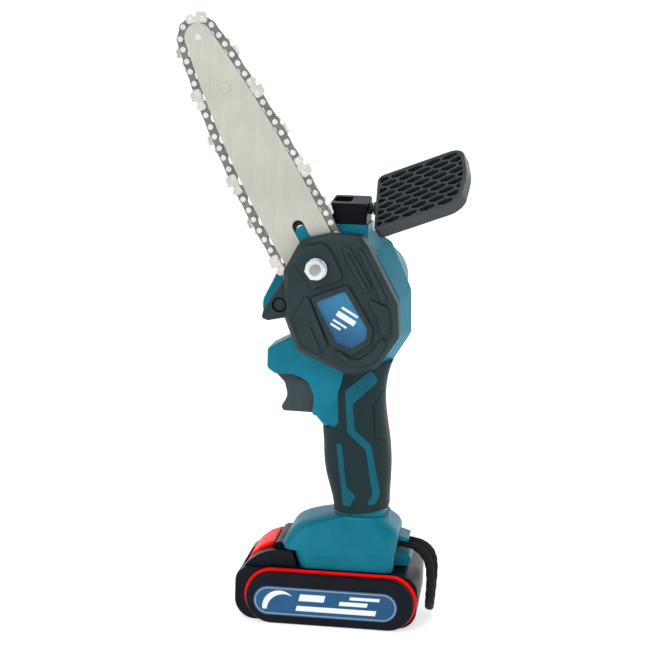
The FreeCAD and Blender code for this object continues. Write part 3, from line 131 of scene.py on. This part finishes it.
def build_cord():
    """The wrist cord as a plaited tube along its NURBS line; its UVs run round and along it."""
    points = centreline(CORD_ROUTE)
    shape = bmesh.new()
    layer = shape.loops.layers.uv.new("braid")
    heading = (points[1] - points[0]).normalized()
    outward = heading.orthogonal().normalized()
    rings, along = [], 0.0
    total = sum((second - first).length for first, second in zip(points, points[1:]))
    for number, point in enumerate(points):
        before, after = points[max(number - 1, 0)], points[min(number + 1, len(points) - 1)]
        ahead = (after - before).normalized()
        outward = (outward - ahead * outward.dot(ahead)).normalized()
        across = ahead.cross(outward)
        if number:
            along += (point - points[number - 1]).length
        past = (min(along, total - along) - FLAT_FROM) / (FLAT_FULL - FLAT_FROM)
        flat = max(0.0, min(1.0, past))
        broad = ahead.cross(Vector((0, 1, 0))).normalized()
        ring = []
        for side_number in range(RING_SIDES):
            share = side_number / RING_SIDES
            angle = share * math.tau
            radius = CORD_DIAMETER / 2 - BRAID_RELIEF * (1 - braid_height(along, share))
            offset = (outward * math.cos(angle) + across * math.sin(angle)) * radius
            in_width = broad * offset.dot(broad)
            offset = ((offset - in_width) * (1 + (FLAT_THINNER - 1) * flat)
                      + in_width * (1 + (FLAT_WIDER - 1) * flat))
            ring.append(shape.verts.new(point + offset))
        rings.append((ring, along))
    for (low, low_along), (high, high_along) in zip(rings, rings[1:]):
        for number in range(RING_SIDES):
            following = (number + 1) % RING_SIDES
            face = shape.faces.new((low[number], low[following], high[following], high[number]))
            face.smooth = True
            corners = ((number, low_along), (number + 1, low_along),
                       (number + 1, high_along), (number, high_along))
            for loop, (round_number, distance) in zip(face.loops, corners):
                loop[layer].uv = (round_number / RING_SIDES, distance / BRAID_PITCH)
    shape.faces.new(reversed(rings[0][0]))
    shape.faces.new(rings[-1][0])
    mesh = bpy.data.meshes.new("wrist_cord")
    shape.to_mesh(mesh)
    shape.free()
    cord = bpy.data.objects.new("wrist_cord", mesh)
    scene.collection.objects.link(cord)
    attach(cord, "tool")
    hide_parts("lanyard_cord")
    return cord


cord = build_cord()


# ---------------------------------------------------------------- light
WORLD_STRENGTH = 0.34
scene.view_settings.view_transform = "Standard"
world = bpy.data.worlds.new("studio")
scene.world = world
world.use_nodes = True
world.node_tree.nodes["Background"].inputs["Color"].default_value = (1, 1, 1, 1)
world.node_tree.nodes["Background"].inputs["Strength"].default_value = WORLD_STRENGTH


def soft_light(name, place, aim, size, power):
    """A square area lamp, aimed at a point."""
    lamp = bpy.data.lights.new(name, "AREA")
    lamp.shape, lamp.size, lamp.energy = "SQUARE", size, power
    item = bpy.data.objects.new(name, lamp)
    item.location = place
    item.rotation_mode = "QUATERNION"
    item.rotation_quaternion = (Vector(aim) - Vector(place)).to_track_quat("-Z", "Y")
    scene.collection.objects.link(item)


CENTRE = (0, 0, 0.17)
soft_light("key", (-0.62, -1.0, 1.05), CENTRE, 0.5, 7.6)
soft_light("fill", (1.1, -0.7, 0.5), CENTRE, 0.8, 3.8)
soft_light("rim", (0.7, 1.1, 0.9), CENTRE, 0.7, 5)
soft_light("overhead", (-0.1, 0, 1.4), CENTRE, 0.9, 4.6)


# ---------------------------------------------------------------- node materials
PRINT_EDGE = 0.00008  # half the soft edge of a printed mark
BEVEL_SAMPLES, RECESS_SHADE_SAMPLES = 4, 8
EDGE_FLAT, EDGE_SHARP = 0.995, 0.88  # how far a bevelled normal has to turn to count as an edge


class Paint:
    """A node material: adds shader nodes and joins them. Lengths are metres in the object's own space."""

    def __init__(self, name, metallic=0.0, **values):
        self.material = bpy.data.materials.new(name)
        self.material.use_nodes = True
        self.tree = self.material.node_tree
        self.shader = self.tree.nodes["Principled BSDF"]
        self.shader.inputs["Metallic"].default_value = metallic
        for key, value in values.items():
            self.shader.inputs[key.replace("_", " ")].default_value = value
        self.place = self.node("ShaderNodeTexCoord").outputs["Object"]

    def node(self, kind, inputs=(), **settings):
        item = self.tree.nodes.new(kind)
        for key, value in settings.items():
            setattr(item, key, value)
        for key, value in dict(inputs).items():
            self.join(item.inputs[key], value)
        return item

    def join(self, socket, value):
        if isinstance(value, bpy.types.NodeSocket):
            self.tree.links.new(value, socket)
        elif value is not None:
            if socket.type == "RGBA" and len(value) == 3:
                value = (*value, 1)
            socket.default_value = value

    def math(self, operation, *values):
        return self.node("ShaderNodeMath", dict(enumerate(values)), operation=operation).outputs[0]

    def between(self, value, low, high, to_low=0.0, to_high=1.0):
        """A smooth step of the value from low to high, or falling where low is above high."""
        if low > high:
            low, high, to_low, to_high = high, low, to_high, to_low
        return self.node("ShaderNodeMapRange", {"Value": value, "From Min": low, "From Max": high,
                                                "To Min": to_low, "To Max": to_high},
                         interpolation_type="SMOOTHSTEP").outputs[0]

    def mix(self, share, first, second):
        return self.node("ShaderNodeMix", {0: share, 6: first, 7: second}, data_type="RGBA").outputs[2]

    def stretched(self, scale, turn):
        return self.node("ShaderNodeMapping", {"Vector": self.place, "Scale": scale,
                                               "Rotation": turn}).outputs[0]

    def noise(self, scale, detail=2.0, roughness=0.5, place=None):
        return self.node("ShaderNodeTexNoise", {"Vector": place or self.place, "Scale": scale,
                                                "Detail": detail, "Roughness": roughness}).outputs["Fac"]

    def spots(self, scale):
        return self.node("ShaderNodeTexVoronoi", {"Vector": self.place, "Scale": scale}).outputs["Distance"]

    def axes(self, place=None):
        return self.node("ShaderNodeSeparateXYZ", {0: place or self.place}).outputs

    def edges(self, radius):
        """1 on convex and concave edges, 0 on flats, and the rounded normal itself."""
        rounded = self.node("ShaderNodeBevel", {"Radius": radius}, samples=BEVEL_SAMPLES).outputs[0]
        plain = self.node("ShaderNodeNewGeometry").outputs["Normal"]
        same = self.node("ShaderNodeVectorMath", {0: rounded, 1: plain}, operation="DOT_PRODUCT")
        return self.between(same.outputs["Value"], EDGE_FLAT, EDGE_SHARP), rounded

    def radius(self, first, second):
        """Length of a flat vector."""
        return self.math("SQRT", self.math("ADD", self.math("MULTIPLY", first, first),
                                           self.math("MULTIPLY", second, second)))

    def ball(self, u, v, middle_u, middle_v, reach):
        """1 inside a disc, 0 outside it."""
        far = self.radius(self.math("SUBTRACT", u, middle_u), self.math("SUBTRACT", v, middle_v))
        return self.between(far, reach + PRINT_EDGE, reach - PRINT_EDGE)

    def block(self, u, v, low_u, high_u, low_v, high_v):
        """1 inside a rectangle, 0 outside it."""
        spans = []
        for place, low, high in ((u, low_u, high_u), (v, low_v, high_v)):
            risen = self.between(place, low - PRINT_EDGE, low + PRINT_EDGE)
            fallen = self.between(place, high + PRINT_EDGE, high - PRINT_EDGE)
            spans.append(self.math("MINIMUM", risen, fallen))
        return self.math("MINIMUM", *spans)

    def bump(self, height, distance, normal=None):
        return self.node("ShaderNodeBump", {"Height": height, "Distance": distance, "Strength": 1.0,
                                            "Normal": normal}).outputs[0]

    def finish(self, colour, roughness, normal=None):
        self.join(self.shader.inputs["Base Color"], colour)
        self.join(self.shader.inputs["Roughness"], roughness)
        if normal is not None:
            self.join(self.shader.inputs["Normal"], normal)
        return self.material


def rgb(red, green, blue):
    """An sRGB colour of 0 to 255 as linear numbers."""
    return tuple(c / 12.92 if c <= 0.04045 else ((c + 0.055) / 1.055) ** 2.4
                 for c in (red / 255, green / 255, blue / 255))


def shade(colour, times):
    """A colour made darker or lighter."""
    return tuple(min(1.0, channel * times) for channel in colour)


CLOUD_SCALE, FLECK_SCALE, GRAIN_SCALE = 35, 900, 2200
RECESS_SHADE_SPAN = 0.6


def moulded(name, colour, roughness, grain=0.5, edge_highlight=1.35, radius=0.0004, recess_shade=0.3, specular=0.45,
            reach=0.005, open_from=0.85):
    """Moulded plastic: fine spark texture, cloudy tone, a painted highlight along its edges and painted
    shade in its recesses.
    """
    p = Paint(name, Specular_IOR_Level=specular)
    edge_share, rounded = p.edges(radius)
    cloud = p.noise(CLOUD_SCALE, 3, 0.6)
    fleck = p.noise(FLECK_SCALE, 2, 0.6)
    tone = p.mix(p.between(cloud, 0.3, 0.7), shade(colour, 0.88), shade(colour, 1.1))
    tone = p.mix(p.between(fleck, 0.62, 0.78, 0, 0.35), tone, shade(colour, 1.3))
    # Painted highlight: bevelled edges are lightened towards a lighter copy of the colour.
    tone = p.mix(p.math("MULTIPLY", edge_share, 0.5), tone, shade(colour, edge_highlight))
    # Painted shade: recesses found by ambient occlusion are darkened towards 0.3 of the colour.
    openness = p.node("ShaderNodeAmbientOcclusion", {"Distance": reach}, samples=RECESS_SHADE_SAMPLES)
    painted_recess_shade = p.between(openness.outputs["AO"], open_from - RECESS_SHADE_SPAN, open_from, recess_shade, 0.0)
    tone = p.mix(painted_recess_shade, tone, shade(colour, 0.3))
    rough = p.math("ADD", p.between(cloud, 0.25, 0.75, roughness - 0.05, roughness + 0.05),
                   p.math("MULTIPLY", edge_share, -0.08))
    height = p.math("MULTIPLY", p.noise(GRAIN_SCALE, 2, 0.6), grain)
    return p.finish(tone, rough, p.bump(height, 0.00006, rounded))


STEEL_CLOUD_SCALE, SCRATCH_SCALE, STEEL_EDGE = 60, 700, 0.00025


def metal(name, colour, roughness, scratch=0.3, metallic=1.0, stretch=(1, 1, 1), turn=(0, 0, 0),
          clouds=0.12):
    """Bare or treated steel: cloudy tone, fine scratches and a painted highlight along its edges."""
    p = Paint(name, metallic)
    edge_share, rounded = p.edges(STEEL_EDGE)
    cloud = p.noise(STEEL_CLOUD_SCALE, 3, 0.6)
    lines = p.noise(SCRATCH_SCALE, 3, 0.65, p.stretched(stretch, turn))
    tone = p.mix(p.between(cloud, 0.3, 0.7), shade(colour, 1 - clouds), shade(colour, 1 + clouds))
    tone = p.mix(p.between(lines, 0.35, 0.7, 0, scratch), tone, shade(colour, 0.6))
    # Painted highlight: edges are lightened to 1.5 times the colour.
    tone = p.mix(p.math("MULTIPLY", edge_share, 0.6), tone, shade(colour, 1.5))
    rough = p.between(lines, 0.3, 0.7, roughness - 0.06, roughness + 0.1)
    return p.finish(tone, rough, p.bump(lines, 0.00002, rounded))


# ---------------------------------------------------------------- colours
TEAL = rgb(0, 106, 127)
COVER_BLACK = rgb(27, 43, 47)
PRINT_BLUE = rgb(16, 78, 118)
PRINT_WHITE = rgb(214, 220, 224)
BAR_LEAN = math.radians(29.8)

materials = {
    "teal_shell": moulded("teal_shell_look", TEAL, 0.4, specular=0.14),
    "teal_inlay": moulded("teal_inlay_look", rgb(0, 80, 96), 0.5, specular=0.15),
    "cover_plastic": moulded("cover_plastic_look", COVER_BLACK, 0.5, edge_highlight=3.6, recess_shade=1.0, specular=0.22,
                             radius=0.0005, reach=0.0024, open_from=1.0),
    "case_plastic": moulded("case_plastic_look", rgb(4, 10, 20), 0.36, edge_highlight=5.0, specular=0.12),
    "guard_plastic": moulded("guard_plastic_look", rgb(50, 56, 59), 0.42, edge_highlight=2.4, recess_shade=1.0,
                             specular=0.3),
    "trigger_plastic": moulded("trigger_plastic_look", rgb(48, 60, 64), 0.5, edge_highlight=1.8, specular=0.22),
    "red_trim": moulded("red_trim_look", rgb(255, 5, 4), 0.4, grain=0.2, specular=0.1, recess_shade=0.1),
    "black_oxide": metal("black_oxide_look", rgb(46, 46, 50), 0.4),
    "bright_steel": metal("bright_steel_look", rgb(206, 210, 211), 0.24, scratch=0.12),
    "bar_steel": metal("bar_steel_look", rgb(176, 176, 166), 0.52, scratch=0.06, stretch=(1, 1, 0.05),
                       turn=(0, BAR_LEAN, 0), metallic=0.6, clouds=0.05),
    "chain_blued": metal("chain_blued_look", rgb(118, 118, 116), 0.36),
    "cutter_steel": metal("cutter_steel_look", rgb(204, 200, 190), 0.3),
    "rivet_steel": metal("rivet_steel_look", rgb(205, 205, 203), 0.3, scratch=0.12, metallic=0.8),
    "gear_steel": metal("gear_steel_look", rgb(150, 150, 152), 0.33),
    "motor_zinc": metal("motor_zinc_look", rgb(172, 174, 178), 0.4),
    "cast_alloy": metal("cast_alloy_look", rgb(160, 160, 162), 0.5),
    "spring_wire": metal("spring_wire_look", rgb(165, 165, 168), 0.28),
    "contact_brass": metal("contact_brass_look", rgb(212, 176, 92), 0.3),
}


# The palm panel's front edge is the rearmost of three straight lines: x, z and slope of each, in metres.
PALM_LINES = ((0.0198, 0.1255, 0.512), (0.0198, 0.1255, -0.079), (0.0212, 0.1078, -1.71))
PEBBLE_SCALE, SKIN_SCALE, GROOVE_DEPTH = 1250, 2600, 3.0


def rubber():
    """Soft moulded rubber; the palm panel behind its outline groove has a close pebbled texture. The groove
    is darkened with painted shade; the raised pebbles and the edges are lightened with a painted highlight.
    """
    p = Paint("grip_rubber_look", Specular_IOR_Level=0.2)
    edge_share, rounded = p.edges(0.0005)
    base = rgb(8, 34, 38)
    x, _, z = p.axes()
    front = None
    for line_x, line_z, slope in PALM_LINES:
        line = p.math("MULTIPLY_ADD", z, slope, line_x - slope * line_z)
        front = line if front is None else p.math("MAXIMUM", front, line)
    inside = p.math("SUBTRACT", x, front)
    panel = p.between(inside, 0.0001, 0.0005)
    groove = p.math("SUBTRACT", 1.0, p.between(p.math("ABSOLUTE", inside), 0.0002, 0.0007))
    cloud = p.noise(40, 3, 0.6)
    pebble = p.between(p.spots(PEBBLE_SCALE), 0.15, 0.6)
    fine = p.between(p.noise(SKIN_SCALE, 2), 0.3, 0.7)
    raised = p.math("ADD", p.math("MULTIPLY", p.math("SUBTRACT", 1.0, pebble), panel),
                    p.math("MULTIPLY", fine, 0.12))
    height = p.math("SUBTRACT", raised, p.math("MULTIPLY", groove, GROOVE_DEPTH))
    tone = p.mix(p.between(cloud, 0.3, 0.7), shade(base, 0.85), shade(base, 1.15))
    # Painted highlight: the raised pebbles are lightened.
    tone = p.mix(p.math("MULTIPLY", raised, 0.35), tone, shade(base, 2.2))
    # Painted shade: the outline groove is darkened.
    tone = p.mix(groove, tone, shade(base, 0.25))
    # Painted highlight: the edges are lightened.
    tone = p.mix(p.math("MULTIPLY", edge_share, 0.5), tone, shade(base, 2.6))
    return p.finish(tone, p.between(cloud, 0.25, 0.75, 0.54, 0.66), p.bump(height, 0.00014, rounded))


materials["grip_rubber"] = rubber()

# Nodes that look different from the rest of their material slot.
own_looks = {
    "guard_bracket": moulded("guard_bracket_look", rgb(2, 7, 14), 0.4, edge_highlight=6.0, specular=0.08),
    "guard_pin": metal("guard_pin_look", rgb(60, 62, 66), 0.4),
    "bar_stud": metal("bar_stud_look", rgb(150, 152, 152), 0.3),
    "cover_screw": moulded("cover_screw_look", shade(COVER_BLACK, 0.9), 0.5, specular=0.22),
}


# The label in metres from its middle: half its straight run, and its border ring's limits from the axis.
LABEL_SHIFT, LABEL_HEIGHT, LABEL_RUN = 0.0023, 0.0138, 0.0327
BORDER_INSIDE, BORDER_OUTSIDE = (0.0070, 0.0072), (0.0079, 0.0077)
# Middle and radius of the disc that makes the pale sweep, and of the disc that is taken out of it.
SWEEP, SWEEP_HOLLOW = (-0.0262, -0.0036, 0.0098), (-0.0236, -0.0056, 0.0098)
SWEEP_ROOM = (-0.0370, -0.0190, -0.0050, 0.0068)
# Blank bars: start, end, middle height and half thickness.
LABEL_BARS = ((-0.0155, -0.0010, 0.0028, 0.0020), (0.0130, 0.0300, 0.0042, 0.0009),
              (0.0080, 0.0240, 0.0008, 0.0012), (-0.0155, 0.0300, -0.0036, 0.0015))
LABEL_LEAN = -0.25


def pack_label():
    """Blue film label with a pale border line, a plain pale sweep at one end and blank leaning bars, under a
    painted sheen that is lighter towards the sweep's end.
    """
    p = Paint("pack_label_look", Specular_IOR_Level=0.25)
    x, y, z = p.axes()
    facing = p.math("SIGN", y)
    u = p.math("ADD", p.math("MULTIPLY", p.math("MULTIPLY", x, facing), -1.0), LABEL_SHIFT)
    v = p.math("SUBTRACT", z, LABEL_HEIGHT)
    run = p.math("MAXIMUM", p.math("SUBTRACT", p.math("ABSOLUTE", u), LABEL_RUN), 0.0)
    rim = p.radius(run, v)
    border = p.math("MULTIPLY", p.between(rim, *BORDER_INSIDE), p.between(rim, *BORDER_OUTSIDE))
    sweep = p.math("MULTIPLY", p.ball(u, v, *SWEEP), p.math("SUBTRACT", 1.0, p.ball(u, v, *SWEEP_HOLLOW)))
    marks = p.math("MULTIPLY", sweep, p.block(u, v, *SWEEP_ROOM))
    leaning = p.math("MULTIPLY_ADD", v, LABEL_LEAN, u)
    for low, high, middle, half in LABEL_BARS:
        marks = p.math("MAXIMUM", marks, p.block(leaning, v, low, high, middle - half, middle + half))
    # Painted sheen: the blue is lighter at one end of the label and darker at the other.
    painted_sheen = p.between(u, -0.04, 0.04)
    tone = p.mix(painted_sheen, shade(PRINT_BLUE, 1.12), shade(PRINT_BLUE, 0.86))
    tone = p.mix(p.noise(160, 2), shade(PRINT_BLUE, 0.8), tone)
    tone = p.mix(p.math("MULTIPLY", border, 0.45), tone, shade(PRINT_WHITE, 0.7))
    tone = p.mix(marks, tone, PRINT_WHITE)
    return p.finish(tone, p.between(p.noise(300, 2), 0.3, 0.7, 0.28, 0.38),
                    p.bump(marks, 0.00001))


materials["pack_label"] = pack_label()


BADGE_MIDDLE = (-0.0035, 0, -0.1765)
# Pale stripes: middle, half thickness, start and end, in metres along the badge.
BADGE_STRIPES = ((0.0062, 0.0007, -0.0052, 0.0052), (0.0022, 0.0016, -0.0058, 0.0058),
                 (-0.0022, 0.0006, -0.0058, 0.0030), (-0.0048, 0.0006, -0.0058, 0.0006))


def badge():
    """Printed badge: blue that deepens towards its foot, with plain slanting pale stripes."""
    p = Paint("badge_look", Specular_IOR_Level=0.3)
    moved = p.node("ShaderNodeMapping", {"Vector": p.place, "Location": BADGE_MIDDLE}).outputs[0]
    turned = p.node("ShaderNodeMapping", {"Vector": moved, "Rotation": (0, -BAR_LEAN, 0)}).outputs[0]
    u, _, v = p.axes(turned)
    marks = None
    for middle, half, low, high in BADGE_STRIPES:
        stripe = p.block(u, v, low, high, middle - half, middle + half)
        marks = stripe if marks is None else p.math("MAXIMUM", marks, stripe)
    fall = p.between(v, -0.013, 0.013)
    tone = p.mix(fall, rgb(20, 72, 112), rgb(44, 120, 160))
    tone = p.mix(p.math("MULTIPLY", p.noise(220, 2), 0.5), tone, shade(PRINT_BLUE, 0.8))
    tone = p.mix(p.math("MULTIPLY", marks, 0.9), tone, PRINT_WHITE)
    return p.finish(tone, p.between(p.noise(300, 2), 0.3, 0.7, 0.24, 0.34), p.bump(marks, 0.00001))


materials["badge"] = badge()


def cell_can():
    """Shrink sleeve on a cell: one wrap colour with a bare steel end."""
    p = Paint("cell_can_look")
    _, y, _ = p.axes()
    end = p.between(p.math("ABSOLUTE", y), 0.0309, 0.0311)
    tone = p.mix(p.noise(90, 2), rgb(24, 122, 92), rgb(34, 146, 110))
    tone = p.mix(end, tone, rgb(190, 190, 192))
    rough = p.between(p.noise(300, 2), 0.3, 0.7, 0.28, 0.4)
    p.join(p.shader.inputs["Metallic"], end)
    return p.finish(tone, rough, p.bump(p.noise(500, 2), 0.00003))


materials["cell_can"] = cell_can()


def circuit_board():
    """Green solder resist with a grid of brighter tracks."""
    p = Paint("circuit_board_look", Coat_Weight=0.3)
    weave = p.node("ShaderNodeTexBrick", {"Vector": p.place, "Scale": 260, "Color1": rgb(14, 84, 40),
                                          "Color2": rgb(18, 98, 46), "Mortar": rgb(60, 140, 74)})
    tone = p.mix(p.noise(400, 2), weave.outputs["Color"], rgb(12, 70, 34))
    return p.finish(tone, p.between(p.noise(500, 2), 0.3, 0.7, 0.3, 0.45),
                    p.bump(weave.outputs["Fac"], 0.00004))


materials["circuit_board"] = circuit_board()


def braid_look():
    """Black plaited polyester: fibres run along each strand, with painted shade where the strands dip."""
    p = Paint("cord_braid_look", Sheen_Weight=0.04, Specular_IOR_Level=0.2)
    laid = p.node("ShaderNodeUVMap", uv_map="braid").outputs[0]
    u, v, _ = p.axes(laid)
    strands, turns = p.math("MULTIPLY", u, BRAID_STRANDS), p.math("MULTIPLY", v, BRAID_TURNS)
    first = p.math("PINGPONG", p.math("ADD", strands, turns), 0.5)
    second = p.math("PINGPONG", p.math("SUBTRACT", strands, turns), 0.5)
    strand = p.between(p.math("MINIMUM", first, second), 0.0, 0.2)
    fibre = p.noise(2600, 3, 0.6)
    tone = p.mix(fibre, rgb(4, 6, 10), rgb(24, 28, 35))
    # Painted shade: the gaps where the strands dip are darkened nearly to black.
    tone = p.mix(strand, rgb(1, 1, 2), tone)
    return p.finish(tone, p.between(fibre, 0.3, 0.7, 0.7, 0.85), p.bump(fibre, 0.00005))


materials["cord_braid"] = braid_look()
cord.data.materials.append(materials["cord_braid"])

for part in frame["record"]["subparts"]:
    slots = frame["nodes"][part["node"]].data.materials
    slots.clear()
    slots.append(own_looks.get(part["node"]) or materials[part["material_slot"]])


# ---------------------------------------------------------------- floor
FLOOR_GLOW = 0.5
# Distance from the middle and height of each ring of the floor.
FLOOR_PROFILE = [(0.4, 0), (1.0, 0), (1.9, 0), (2.2, 0.04), (2.4, 0.16), (2.5, 0.4), (2.52, 1.4)]
FLOOR_SECTORS = 72


def build_floor():
    """A plain pale floor that curves up into a wall all round, so no horizon shows from any side."""
    p = Paint("floor_look")
    tone = p.mix(p.noise(3, 2), (0.8, 0.8, 0.81), (0.83, 0.83, 0.84))
    p.shader.inputs["Emission Color"].default_value = (1, 1, 1, 1)
    p.shader.inputs["Emission Strength"].default_value = FLOOR_GLOW
    shape = bmesh.new()
    middle = shape.verts.new((0, 0, 0))
    rings = []
    for reach, height in FLOOR_PROFILE:
        angles = [math.tau * number / FLOOR_SECTORS for number in range(FLOOR_SECTORS)]
        rings.append([shape.verts.new((reach * math.cos(angle), reach * math.sin(angle), height))
                      for angle in angles])
    for number in range(FLOOR_SECTORS):
        following = (number + 1) % FLOOR_SECTORS
        shape.faces.new((middle, rings[0][number], rings[0][following]))
        for low, high in zip(rings, rings[1:]):
            shape.faces.new((low[number], high[number], high[following], low[following]))
    mesh = bpy.data.meshes.new("floor")
    shape.to_mesh(mesh)
    shape.free()
    for face in mesh.polygons:
        face.use_smooth = True
    floor = bpy.data.objects.new("floor", mesh)
    floor.data.materials.append(p.finish(tone, p.between(p.noise(8, 2), 0.3, 0.7, 0.55, 0.65)))
    scene.collection.objects.link(floor)


build_floor()
